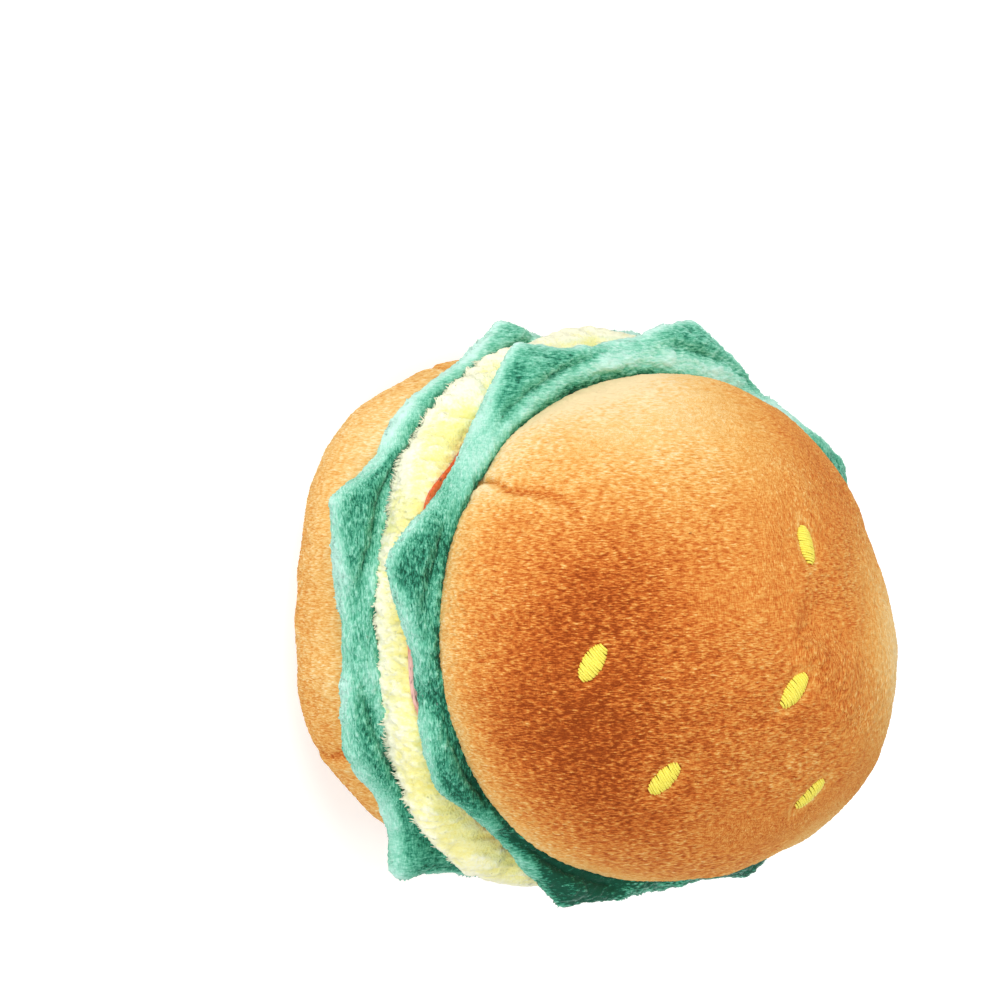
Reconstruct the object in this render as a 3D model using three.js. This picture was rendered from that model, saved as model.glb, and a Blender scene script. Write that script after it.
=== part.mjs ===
// Squeaky plush burger for a dog: two stuffed buns with leaf frills, a tomato slice and a fluffy
// cheese pad between them, and a bellows squeaker inside the cheese pad.
// Millimetres. +Z runs up the middle of the stack, and the origin is the middle of the resting face.
import * as THREE from "three";

// Gap left between cloths that touch
const clothGap = 0.3;

// Upper bun: a dome of short-pile plush over a fibre filling
const upperRadius = 44.3;
const upperHeight = 39.5;
const upperTuck = 4;
const upperSeamRadius = 43.3;
const upperFullness = 1.85;
// It sits a little off the middle of the stack
const upperOffset = { x: 1.6, y: -1.3 };

// Lower bun: the same plush, wider and shallower, flat where it rests
const lowerRadius = 50.6;
const lowerHeight = 23;
const lowerTuck = 12.5;
const lowerSeamRadius = 46.5;
const lowerFullness = 2.3;
const restingFlatDepth = 0.5;

// Cloths, measured with their pile
const bunPlush = 1.8;
const lining = 0.8;
const frillPlush = 1.5;
const panelCloth = 1;
const tomatoCloth = 1.4;

// Darts that draw each bun cover in at its rim
const upperDartCount = 2;
const lowerDartCount = 4;
const dartWidth = 5;
const dartLength = 20;
const dartDepth = 1.1;
const upperFirstDart = -124;
const lowerFirstDart = -152;

// Leaf frills: pointed tips on a round of two plies, tip directions in degrees from +X, and how
// far each tip reaches past the hollows as a share of the full reach
const upperTips = [-149, -101, -58, -20, 28, 75, 121, 169];
const lowerTips = [-160, -136, -111, -66, -42, 2, 50, 98, 146];
const upperTipShares = [1.2, 1, 0.65, 0.8, 1, 0.9, 1, 1];
const lowerTipShares = [0.95, 0.7, 1.35, 1, 1.8, -0.3, 0.9, 1, 1];
const upperTipRadius = 53;
const lowerTipRadius = 56.5;
const upperValleyRadius = 47.3;
const lowerValleyRadius = 51.4;
// Width of the band inside the hollows in which a frill starts to curl
const upperCurlBand = 4;
const lowerCurlBand = 4.9;
const frillCurl = 1.8;
// How late in that band it curls: a frill lies flat on the layer below until near its edge
const curlSharpness = 4;
// Tips that are closer together than this, in degrees, have a shallower hollow between them
const fullHollowSpan = 48;

// Tomato slice, which peeps out from under the frill on one side
const tomatoRadius = 47.2;
const tomatoOffset = -1.6;

// Cheese pad: a fluffy band with a panel above and below, filled round the squeaker
const cheeseRadius = 48.4;
const cheeseCrown = 1.2;
const cheeseCloth = 2.6;
const cheeseFilling = 8.6;

// Bellows squeaker with a whistle plug in its base
const squeakerRadius = 16;
const squeakerWall = 0.9;
const bellowsFolds = 3;
const bellowsFoldDepth = 1.8;
const plugRadius = 6;
const plugHeight = 2.4;
const plugBore = 3.6;
const reedWidth = 2.6;
const reedThickness = 0.3;

// Embroidered seeds
const seedLength = 7;
const seedWidth = 3.2;
const seedRise = 0.9;
// Each seed: distance from the axis, direction from +X and turn of its long side, in degrees
const seeds = [
  { reach: 15.7, around: 162.3, turn: -1 },
  { reach: 32.1, around: -83.3, turn: 138 },
  { reach: 8.7, around: -0.7, turn: 143 },
  { reach: 29.7, around: -39.7, turn: 142 },
  { reach: 28, around: 20.4, turn: 153 },
];

// Facets
const bunSides = 48;
const domeSteps = 7;
const tuckSteps = 3;
const stepsPerLeaf = 12;
const padSides = 48;
const crownSteps = 4;
const smallSides = 32;
const seedSides = 16;

const toy = new THREE.Group();

const colours = {
  bun: [0xd08a45, 0.95],
  frill: [0x3e9a78, 0.95],
  cheese: [0xf7f0a0, 0.95],
  tomato: [0xe46a33, 0.8],
  seed: [0xf3e44b, 0.6],
  lining: [0xe9e4d8, 0.9],
  filling: [0xf4f4f2, 1],
  squeaker: [0xf2f2ee, 0.5],
  reed: [0xb8bcc0, 0.4],
};

function radians(degrees) {
  return THREE.MathUtils.degToRad(degrees);
}

function material(finish) {
  const [color, roughness] = colours[finish];
  return new THREE.MeshStandardMaterial({ color, roughness, metalness: 0 });
}

function addPiece(name, finish, geometry, parent = toy) {
  const mesh = new THREE.Mesh(geometry, material(finish));
  mesh.name = name;
  parent.add(mesh);
  return mesh;
}

// Turns an outline of [radius, height] points round the axis, then moves each point by the warp,
// which takes and gives radius, direction and height.
function turned(outline, sides, warp = null) {
  const points = outline.map(([radius, height]) => new THREE.Vector2(radius, height));
  const geometry = new THREE.LatheGeometry(points, sides);
  geometry.rotateX(Math.PI / 2);
  if (!warp) return geometry;
  const position = geometry.getAttribute("position");
  for (let i = 0; i < position.count; i++) {
    const x = position.getX(i);
    const y = position.getY(i);
    const moved = warp(Math.hypot(x, y), Math.atan2(y, x), position.getZ(i));
    position.setXYZ(
      i,
      moved.radius * Math.cos(moved.direction),
      moved.radius * Math.sin(moved.direction),
      moved.height,
    );
  }
  return geometry;
}

// One side of a bun from its pole to its seam, as heights over the seam plane: a full rounded
// dome down to the widest place, then a short tuck back in to the seam.
function bunOutline(size) {
  const points = [];
  for (let i = 0; i <= domeSteps; i++) {
    const angle = (Math.PI / 2) * (1 - i / domeSteps);
    const across = Math.pow(Math.cos(angle), 2 / size.fullness);
    const up = Math.pow(Math.sin(angle), 2 / size.fullness);
    points.push([i === 0 ? 0 : size.radius * across, size.tuck + (size.height - size.tuck) * up]);
  }
  for (let i = 1; i <= tuckSteps; i++) {
    const angle = (Math.PI / 2) * (i / tuckSteps);
    const inward = (size.radius - size.seam) * (1 - Math.cos(angle));
    points.push([size.radius - inward, size.tuck * (1 - Math.sin(angle))]);
  }
  return points;
}

// The same bun, smaller all round by one cloth thickness
function shrunk(size, inset) {
  return {
    ...size,
    radius: size.radius - inset,
    height: size.height - inset,
    seam: size.seam - inset,
  };
}

// Draws a bun's rim in along its darts, most at the seam and fading out up the dome
function dartWarp(count, firstDart, seamHeight) {
  return (radius, direction, height) => {
    const spacing = (2 * Math.PI) / count;
    const offset = direction - radians(firstDart) + spacing / 2;
    const nearest = offset - spacing * Math.floor(offset / spacing) - spacing / 2;
    const aside = (nearest * radius) / dartWidth;
    const fade = Math.max(0, 1 - Math.abs(height - seamHeight) / dartLength);
    const drawnIn = dartDepth * Math.exp(-aside * aside) * Math.sqrt(fade);
    return { radius: Math.max(0, radius - drawnIn), direction, height };
  };
}

function disc(radius, bottom, thickness) {
  return [
    [0, bottom],
    [radius, bottom],
    [radius, bottom + thickness],
    [0, bottom + thickness],
  ];
}

function ringOutline(inner, outer, bottom, thickness) {
  return [
    [inner, bottom],
    [outer, bottom],
    [outer, bottom + thickness],
    [inner, bottom + thickness],
    [inner, bottom],
  ];
}

// Each layer starts one gap above the last
let stackTop = lowerHeight;
function nextLayer(thickness) {
  const bottom = stackTop + clothGap;
  stackTop = bottom + thickness;
  return bottom;
}

const lowerLiningBottom = nextLayer(lining);
const lowerBackPly = nextLayer(frillPlush);
const lowerFacePly = nextLayer(frillPlush);
const lowerPanelBottom = nextLayer(panelCloth);
const fillingBottom = nextLayer(cheeseFilling);
const upperPanelBottom = nextLayer(panelCloth);
const tomatoBottom = nextLayer(tomatoCloth);
const upperBackPly = nextLayer(frillPlush);
const upperFacePly = nextLayer(frillPlush);
const upperLiningBottom = nextLayer(lining);
const upperSeamHeight = stackTop + clothGap;

const upperBun = {
  radius: upperRadius,
  height: upperHeight,
  tuck: upperTuck,
  seam: upperSeamRadius,
  fullness: upperFullness,
};
const lowerBun = {
  radius: lowerRadius,
  height: lowerHeight + restingFlatDepth,
  tuck: lowerTuck,
  seam: lowerSeamRadius,
  fullness: lowerFullness,
};
const upperFrill = {
  tips: upperTips,
  tipShares: upperTipShares,
  flatRadius: upperValleyRadius - upperCurlBand,
  valleyRadius: upperValleyRadius,
  tipRadius: upperTipRadius,
};
const lowerFrill = {
  tips: lowerTips,
  tipShares: lowerTipShares,
  flatRadius: lowerValleyRadius - lowerCurlBand,
  valleyRadius: lowerValleyRadius,
  tipRadius: lowerTipRadius,
};

// A bun's cover is a bowl of plush, open at the seam; its filling is the solid that fits inside
function buildUpperBun(group) {
  const raise = ([radius, height]) => [radius, upperSeamHeight + height];
  const outer = bunOutline(upperBun).map(raise);
  const inner = bunOutline(shrunk(upperBun, bunPlush)).map(raise);
  const warp = dartWarp(upperDartCount, upperFirstDart, upperSeamHeight);
  const cover = [...outer].reverse();
  cover.unshift(...inner);
  addPiece("top_bun_cover", "bun", turned(cover, bunSides, warp), group);
  const filling = bunOutline(shrunk(upperBun, bunPlush + clothGap)).map(raise);
  filling.push([0, upperSeamHeight]);
  addPiece("top_bun_stuffing", "filling", turned(filling.reverse(), bunSides, warp), group);
  const liningDisc = disc(upperSeamRadius - dartDepth, upperLiningBottom, lining);
  addPiece("top_bun_lining", "lining", turned(liningDisc, padSides), group);
}

function buildLowerBun() {
  const lowerTo = (floor) => ([radius, height]) => [radius, Math.max(floor, lowerHeight - height)];
  const outer = bunOutline(lowerBun).map(lowerTo(0));
  const inner = bunOutline(shrunk(lowerBun, bunPlush)).map(lowerTo(bunPlush));
  const warp = dartWarp(lowerDartCount, lowerFirstDart, lowerHeight);
  const cover = [...outer, ...inner.reverse()];
  addPiece("bottom_bun_cover", "bun", turned(cover, bunSides, warp));
  const insetByCover = bunPlush + clothGap;
  const filling = bunOutline(shrunk(lowerBun, insetByCover)).map(lowerTo(insetByCover));
  filling.push([0, lowerHeight]);
  addPiece("bottom_bun_stuffing", "filling", turned(filling, bunSides, warp));
  const liningDisc = disc(lowerSeamRadius - dartDepth, lowerLiningBottom, lining);
  addPiece("bottom_bun_lining", "lining", turned(liningDisc, padSides));
}

// A frill ply is a flat round with leaves beyond it. The leaves end in points with hollow curves
// between them, and curl down at the points and up between them.
function frillWarp(frill) {
  const turn = 2 * Math.PI;
  const { tips, tipShares, flatRadius, valleyRadius, tipRadius } = frill;
  return (radius, direction, height) => {
    const start = (((direction + Math.PI / 2) % turn) + turn) % turn;
    const place = (start / turn) * tips.length;
    const leaf = Math.floor(place) % tips.length;
    const nextLeaf = (leaf + 1) % tips.length;
    const along = place - Math.floor(place);
    const from = radians(tips[leaf]);
    const span = (((radians(tips[nextLeaf]) - from) % turn) + turn) % turn;
    const tipShare = THREE.MathUtils.lerp(tipShares[leaf], tipShares[nextLeaf], along);
    const hollow = Math.min(1, span / radians(fullHollowSpan));
    const pointed = tipShare * (1 - hollow * Math.sin(Math.PI * along));
    const edge = valleyRadius + (tipRadius - valleyRadius) * pointed;
    const outward = Math.max(0, (radius - flatRadius) / (valleyRadius - flatRadius));
    return {
      radius: outward > 0 ? flatRadius + (edge - flatRadius) * outward : radius,
      direction: from + span * along,
      height: height + frillCurl * (1 / 2 - pointed) * Math.pow(outward, curlSharpness),
    };
  };
}

function plyOutline({ flatRadius, valleyRadius }, bottom) {
  const middle = (flatRadius + valleyRadius) / 2;
  const top = bottom + frillPlush;
  return [
    [0, bottom],
    [flatRadius, bottom],
    [middle, bottom],
    [valleyRadius, bottom],
    [valleyRadius, top],
    [middle, top],
    [flatRadius, top],
    [0, top],
  ];
}

function buildFrill(name, frill, backBottom, faceBottom) {
  const sides = frill.tips.length * stepsPerLeaf;
  const warp = frillWarp(frill);
  addPiece(`${name}_back`, "frill", turned(plyOutline(frill, backBottom), sides, warp));
  addPiece(`${name}_face`, "frill", turned(plyOutline(frill, faceBottom), sides, warp));
}

function buildCheesePad() {
  const innerRadius = cheeseRadius - cheeseCloth;
  const panelRadius = innerRadius - clothGap;
  const lowerPanel = disc(panelRadius, lowerPanelBottom, panelCloth);
  const upperPanel = disc(panelRadius, upperPanelBottom, panelCloth);
  addPiece("cheese_bottom_panel", "lining", turned(lowerPanel, padSides));
  addPiece("cheese_top_panel", "lining", turned(upperPanel, padSides));

  const bandBottom = lowerPanelBottom;
  const bandTop = upperPanelBottom + panelCloth;
  const band = [[innerRadius, bandBottom]];
  for (let i = 0; i <= crownSteps; i++) {
    const up = i / crownSteps;
    const bulge = cheeseCrown * Math.sin(Math.PI * up);
    band.push([cheeseRadius + bulge, bandBottom + (bandTop - bandBottom) * up]);
  }
  band.push([innerRadius, bandTop]);
  band.push([innerRadius, bandBottom]);
  addPiece("cheese_band", "cheese", turned(band, padSides));

  const pocketRadius = squeakerRadius + clothGap;
  const filling = ringOutline(pocketRadius, panelRadius, fillingBottom, cheeseFilling);
  addPiece("cheese_stuffing", "filling", turned(filling, padSides));
}

// The bellows is one blown shell, open only where the plug sits. The reed lies across the plug's
// bore and is held at one end.
function buildSqueaker() {
  const mouth = plugRadius + clothGap;
  const top = fillingBottom + cheeseFilling;
  const foldHeight = (cheeseFilling - 2 * squeakerWall) / (2 * bellowsFolds);
  const outer = [];
  const inner = [];
  for (let i = 0; i <= 2 * bellowsFolds; i++) {
    const radius = i % 2 === 0 ? squeakerRadius : squeakerRadius - bellowsFoldDepth;
    const height = fillingBottom + squeakerWall + foldHeight * i;
    outer.push([radius, height]);
    inner.push([radius - squeakerWall, height]);
  }
  const shell = [
    [0, top - squeakerWall],
    ...inner.reverse(),
    [mouth, fillingBottom + squeakerWall],
    [mouth, fillingBottom],
    [squeakerRadius - squeakerWall, fillingBottom],
    ...outer,
    [squeakerRadius - squeakerWall, top],
    [0, top],
  ];
  addPiece("squeaker_bellows", "squeaker", turned(shell, smallSides));
  const plug = ringOutline(plugBore, plugRadius, fillingBottom, plugHeight);
  addPiece("squeaker_plug", "squeaker", turned(plug, smallSides));

  const halfWidth = reedWidth / 2;
  const rootX = -Math.sqrt(plugBore * plugBore - halfWidth * halfWidth) + clothGap;
  const tipX = plugBore - clothGap - halfWidth;
  const tongue = new THREE.Shape();
  tongue.moveTo(rootX, -halfWidth);
  tongue.lineTo(tipX, -halfWidth);
  tongue.absarc(tipX, 0, halfWidth, -Math.PI / 2, Math.PI / 2, false);
  tongue.lineTo(rootX, halfWidth);
  const reed = new THREE.ExtrudeGeometry(tongue, {
    depth: reedThickness,
    bevelEnabled: false,
    curveSegments: crownSteps,
  });
  const reedMesh = addPiece("squeaker_reed", "reed", reed);
  reedMesh.position.z = fillingBottom + (plugHeight - reedThickness) / 2;
}

// Height of the upper bun's cover over its seam at a distance from the axis, and its slope there
function domeSurface(distance) {
  const across = Math.pow(distance / upperRadius, upperFullness);
  const rise = upperHeight - upperTuck;
  const height = upperTuck + rise * Math.pow(1 - across, 1 / upperFullness);
  const steepness = Math.pow(1 - across, 1 / upperFullness - 1);
  const slope = (-rise / upperRadius) * Math.pow(distance / upperRadius, upperFullness - 1) * steepness;
  return { height, slope };
}

// A seed is a low almond of satin stitch with a flat back, laid on the cover
function seedGeometry() {
  const outline = [
    [0, 0],
    [1, 0],
    [Math.cos(Math.PI / 6), Math.sin(Math.PI / 6)],
    [Math.cos(Math.PI / 3), Math.sin(Math.PI / 3)],
    [0, 1],
  ];
  const almond = (radius, direction, height) => {
    const along = radius * Math.cos(direction);
    const aside = radius * Math.sin(direction) * Math.sqrt(Math.abs(Math.sin(direction)));
    return { radius: Math.hypot(along, aside), direction: Math.atan2(aside, along), height };
  };
  const geometry = turned(outline, seedSides, almond);
  geometry.scale(seedLength / 2, seedWidth / 2, seedRise);
  return geometry;
}

function buildSeeds(group) {
  seeds.forEach(({ reach, around, turn }, index) => {
    const direction = radians(around);
    const surface = domeSurface(reach);
    const normal = new THREE.Vector3(
      -surface.slope * Math.cos(direction),
      -surface.slope * Math.sin(direction),
      1,
    ).normalize();
    const long = new THREE.Vector3(Math.cos(radians(turn)), Math.sin(radians(turn)), 0);
    long.addScaledVector(normal, -long.dot(normal)).normalize();
    const across = new THREE.Vector3().crossVectors(normal, long);
    const seed = addPiece(`sesame_seed_${index + 1}`, "seed", seedGeometry(), group);
    seed.quaternion.setFromRotationMatrix(new THREE.Matrix4().makeBasis(long, across, normal));
    seed.position.set(
      reach * Math.cos(direction),
      reach * Math.sin(direction),
      upperSeamHeight + surface.height,
    );
    seed.position.addScaledVector(normal, clothGap);
  });
}

buildLowerBun();
buildFrill("bottom_lettuce", lowerFrill, lowerBackPly, lowerFacePly);
buildCheesePad();
buildSqueaker();
const slice = turned(disc(tomatoRadius, tomatoBottom, tomatoCloth), padSides);
addPiece("tomato_slice", "tomato", slice).position.y = tomatoOffset;
buildFrill("top_lettuce", upperFrill, upperBackPly, upperFacePly);

const upperBunGroup = new THREE.Group();
upperBunGroup.position.set(upperOffset.x, upperOffset.y, 0);
toy.add(upperBunGroup);
buildUpperBun(upperBunGroup);
buildSeeds(upperBunGroup);

export default toy;
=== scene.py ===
import math

import bmesh
import bpy
import numpy as np
from mathutils import Matrix, Vector, noise
from mathutils.bvhtree import BVHTree


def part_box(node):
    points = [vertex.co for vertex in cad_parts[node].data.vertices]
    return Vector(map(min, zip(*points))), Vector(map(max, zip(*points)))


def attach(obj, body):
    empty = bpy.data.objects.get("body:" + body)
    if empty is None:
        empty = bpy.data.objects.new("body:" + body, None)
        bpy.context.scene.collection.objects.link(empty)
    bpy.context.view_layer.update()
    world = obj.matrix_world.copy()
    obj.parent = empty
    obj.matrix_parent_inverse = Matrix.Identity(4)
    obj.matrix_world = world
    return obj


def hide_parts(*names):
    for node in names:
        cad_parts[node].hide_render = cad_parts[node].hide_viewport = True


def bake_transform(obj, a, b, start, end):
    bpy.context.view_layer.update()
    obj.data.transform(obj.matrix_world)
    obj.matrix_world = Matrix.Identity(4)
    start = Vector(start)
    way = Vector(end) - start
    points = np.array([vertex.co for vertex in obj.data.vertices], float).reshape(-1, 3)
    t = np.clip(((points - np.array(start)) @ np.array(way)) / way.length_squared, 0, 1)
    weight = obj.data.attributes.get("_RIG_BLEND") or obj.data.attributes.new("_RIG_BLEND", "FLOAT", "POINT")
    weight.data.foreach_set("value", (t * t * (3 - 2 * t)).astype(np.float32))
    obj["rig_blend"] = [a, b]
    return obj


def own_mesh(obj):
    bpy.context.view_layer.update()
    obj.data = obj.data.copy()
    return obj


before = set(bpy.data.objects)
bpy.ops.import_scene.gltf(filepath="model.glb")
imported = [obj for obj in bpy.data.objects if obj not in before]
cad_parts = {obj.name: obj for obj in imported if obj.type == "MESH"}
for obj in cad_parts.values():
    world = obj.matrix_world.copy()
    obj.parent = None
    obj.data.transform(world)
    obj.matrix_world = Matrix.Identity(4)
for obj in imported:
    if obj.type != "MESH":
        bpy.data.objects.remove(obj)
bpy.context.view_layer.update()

MM = 0.001
UP = Vector((0, 0, 1))

# Bodies
LOWER = "lower_stack"
UPPER = "upper_stack"

# Pile: length of a tuft, how upright it stands, how far its direction strays and its root scatters,
# the width of a row of tufts and how many times as long a row is
BUN_PILE = {
    "length": 0.32 * MM, "upright": 0.75, "stray": 0.4, "swirl": 0.7, "scatter": 0.06 * MM,
    "row": 0.4 * MM, "long": 2.5,
}
LEAF_PILE = {
    "length": 0.5 * MM, "upright": 0.8, "stray": 0.35, "swirl": 0.6, "scatter": 0.05 * MM,
    "row": 0.55 * MM, "long": 2.4,
}
SLICE_PILE = {
    "length": 0.2 * MM, "upright": 0.5, "stray": 0.6, "swirl": 0.2, "scatter": 0.1 * MM,
    "row": 0.6 * MM, "long": 1.5,
}
CHEESE_PILE = {
    "length": 0.6 * MM, "upright": 0.8, "stray": 0.3, "swirl": 0.8, "scatter": 0.04 * MM,
    "row": 0.8 * MM, "long": 3.0,
}

# How far the filling pushes a bun's cover and a frill's plies out, at most
BUN_SWELL = 2.0 * MM
LEAF_SWELL = 1.2 * MM

# How far a bun's rim hangs past its seam, over the edge of the frill
RIM_DROP = 1.2 * MM

# A dart: half width that stays sewn down, half width and depth of its crease and of the pucker round
# it, and how far aside its lip stands, its half width and height
DART_SEWN = 2.6 * MM
DART_CREASE = (0.7 * MM, 1.0 * MM)
DART_PUCKER = (5 * MM, 0.6 * MM)
DART_LIP = (1.9 * MM, 1.1 * MM, 0.5 * MM)
UPPER_DARTS = {"count": 2, "first": -124, "length": 23 * MM, "far_length": 6 * MM}
LOWER_DARTS = {"count": 4, "first": -152, "length": 16 * MM, "far_length": 16 * MM}
# How far off a seed's face the cover still lies under it, and how deep its stitches pull it in
SEED_NEAR = 6 * MM
SEED_DIP = 0.5 * MM

# Where each bun bulges past its even round or is pressed in at the rim
UPPER_FULLER = (
    (48, 30, -4, 46, 2.6), (5, 28, -6, 14, -1.0), (125, 40, 0, 44, -1.6), (-92, 40, -6, 30, 0.8),
)
LOWER_FULLER = ((-124, 26, -2, 26, 3.8), (-72, 26, -2, 26, 2.4), (-168, 18, -2, 26, -2.0))

# How pale the plush is over a bun, from 0 to 1: over most of it, how much more at the rim as painted sheen,
# and where it is painted paler as painted light or darker as painted shade. Place from the middle of the
# seam in millimetres, reach, change.
UPPER_TONE_AND_PAINTED_LIGHT = (0.45, 0.33, (
    ((-38, -14, 14), 23, 0.42), ((-6, -30, 28), 10, -0.2), ((12, -31, 25), 16, -0.28),
    ((26, -26, 20), 13, -0.08), ((4, 30, 26), 16, 0.42), ((28, 4, 26), 14, 0.02),
    ((34, 22, 12), 14, 0.3),
))
LOWER_TONE_AND_PAINTED_LIGHT = (0.66, 0.1, (((-30, -38, 12), 16, 0.1), ((20, -44, 8), 14, -0.08)))

# Locks: length, how many of the pile's facets at the edge grow one, and how they taper
LOCK_LENGTH = 1.5 * MM
EDGE_LOCK_SHARE = 0.12
LOCK_TAPER_SHARES = (0.8, 0.5, 0.1)
LEAF_LOCK_LENGTH = 0.4 * MM
LEAF_LOCK_SHARE = 0.08

# The cheese band: how far its cloth lies inside the solid, how thick it is, and how far it bulges
BAND_INSET = 2.3 * MM
BAND_THICKNESS = 3.6 * MM
BAND_BULGE = 1.2 * MM
# Where the band bulges or is drawn in: direction, half width, depth in millimetres
CHEESE_FULLER = ((-142, 26, 3.2), (-178, 18, 1.3), (-43, 24, 4.8), (-82, 26, -1.5), (2, 24, -3.0))

# The tomato slice: how far its rim is drawn in, where it is left to show between the leaves (direction,
# half width, how far it is left), and where a painted highlight turns it pink (direction, half width)
SLICE_DRAWN_IN = 1.4 * MM
SLICE_SHOWN = ((-117, 5, 1.0), (-74, 6, 0.6))
SLICE_PAINTED_HIGHLIGHT = (-76, 16)

# Camera, fitted to the photograph: lens for a 36 mm sensor, tilt off the stack's axis
CAMERA_PLACE = Vector((-20.3, -282.0, 412.9)) * MM
CAMERA_TILT = math.radians(34.2)
CAMERA_ROLL = math.radians(-0.1)
CAMERA_LENS = 96.0
SENSOR = 36.0

# Lamps: place in metres, size across, power and colour. Then the glow of the room and of the floor
LAMPS = {
    "key": ((-0.65, -0.3, 0.5), 0.5, 4.1, "#FFFDF8"),
    "fill": ((0.3, -0.72, 0.48), 0.7, 4.2, "#FFFFFF"),
    "back": ((0.1, 0.6, 0.75), 0.7, 3.5, "#FFFFFF"),
}
ROOM_GLOW = 0.45
FLOOR_GLOW = 0.45


# Mesh helpers

def triples(collection, name):
    flat = np.empty(len(collection) * 3, np.float32)
    collection.foreach_get(name, flat)
    return flat.reshape(-1, 3).astype(float)


def coordinates(mesh):
    return triples(mesh.vertices, "co")


def set_coordinates(mesh, points):
    mesh.vertices.foreach_set("co", points.astype(np.float32).ravel())
    mesh.update()


def normals(mesh):
    return triples(mesh.vertex_normals, "vector")


def unit(vectors):
    length = np.linalg.norm(vectors, axis=-1, keepdims=True)
    return vectors / np.maximum(length, 1e-12)


def drift(points, size, seed):
    """Smooth random values, about -1 to 1, in patches about size across."""
    shift = Vector((7.3, 3.1, 1.7)) * seed
    return np.array([noise.noise(Vector(point) / size + shift) for point in points]) * 2


def from_axis(points):
    """How far each point is from the stack's axis."""
    return np.hypot(points[:, 0], points[:, 1])


def round_axis(points):
    """The direction of each point round the stack's axis."""
    return np.arctan2(points[:, 1], points[:, 0])


def rim_ring(directions):
    """Unit vectors out from the axis. Noise read along this ring closes on itself."""
    return np.stack([np.cos(directions), np.sin(directions), 0 * directions], axis=1)


def aside_of(directions, place):
    """How far directions in degrees lie to either side of a place."""
    return (directions - place + 180) % 360 - 180


def hump(away, width):
    """A soft hump: 1 in its middle and nearly 0 two widths away."""
    return np.exp(-((away / width) ** 2))


def piece(name, bm, material, smooth=True):
    """Makes a finished bmesh into an object whose place is in its mesh."""
    mesh = bpy.data.meshes.new(name)
    bm.to_mesh(mesh)
    bm.free()
    made = bpy.data.objects.new(name, mesh)
    bpy.context.scene.collection.objects.link(made)
    if material:
        mesh.materials.append(material)
    mesh.shade_smooth() if smooth else mesh.shade_flat()
    return made


def spun(profile, steps):
    """Rolls a grid round the axis, so that its rows follow a profile of (radius, height) points. The
    corners come in the same order each run, which the pile's seeded random values need."""
    bm = bmesh.new()
    rows = len(profile) - 1
    bmesh.ops.create_grid(bm, x_segments=steps, y_segments=rows, size=0.5)
    for corner in bm.verts:
        turn = (corner.co.x + 0.5) * 2 * math.pi
        radius, height = profile[round((corner.co.y + 0.5) * rows)]
        corner.co = (radius * math.cos(turn), radius * math.sin(turn), height)
    bmesh.ops.remove_doubles(bm, verts=bm.verts, dist=0.001 * MM)
    bmesh.ops.recalc_face_normals(bm, faces=bm.faces)
    return bm


def refine(target, levels):
    """Applies a subdivision surface, so that the mesh itself is fine."""
    soften = target.modifiers.new("refine", "SUBSURF")
    soften.levels = levels
    soften.render_levels = levels
    graph = bpy.context.evaluated_depsgraph_get()
    fine = bpy.data.meshes.new_from_object(target.evaluated_get(graph))
    target.modifiers.remove(soften)
    coarse = target.data
    target.data = fine
    bpy.data.meshes.remove(coarse)
    fine.name = target.name


def inflate(target, held, pressure, cap, frames=20):
    """Swells a closed cloth form by cloth simulation. Held points stay, and none moves past cap."""
    mesh = target.data
    start = coordinates(mesh)
    group = target.vertex_groups.new(name="sewn")
    group.add([int(index) for index in np.flatnonzero(held)], 1.0, "REPLACE")
    cloth = target.modifiers.new("swell", "CLOTH")
    cloth.settings.quality = 8
    cloth.settings.mass = 0.02
    cloth.settings.tension_stiffness = 6
    cloth.settings.compression_stiffness = 6
    cloth.settings.shear_stiffness = 3
    cloth.settings.bending_stiffness = 0.05
    cloth.settings.use_pressure = True
    cloth.settings.uniform_pressure_force = pressure
    cloth.settings.vertex_group_mass = group.name
    cloth.settings.effector_weights.gravity = 0
    cloth.collision_settings.use_collision = False
    cloth.point_cache.frame_start = 1
    cloth.point_cache.frame_end = frames
    for step in range(1, frames + 1):
        bpy.context.scene.frame_set(step)
    graph = bpy.context.evaluated_depsgraph_get()
    swollen = coordinates(target.evaluated_get(graph).data)
    target.modifiers.remove(cloth)
    target.vertex_groups.remove(group)
    bpy.context.scene.frame_set(1)
    moved = swollen - start
    far = np.linalg.norm(moved, axis=1, keepdims=True)
    print(f"{target.name} swells {far.mean() / MM:.2f} mm, at most {far.max() / MM:.2f} mm")
    set_coordinates(mesh, start + moved * np.minimum(1, cap / np.maximum(far, 1e-9)))


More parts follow.
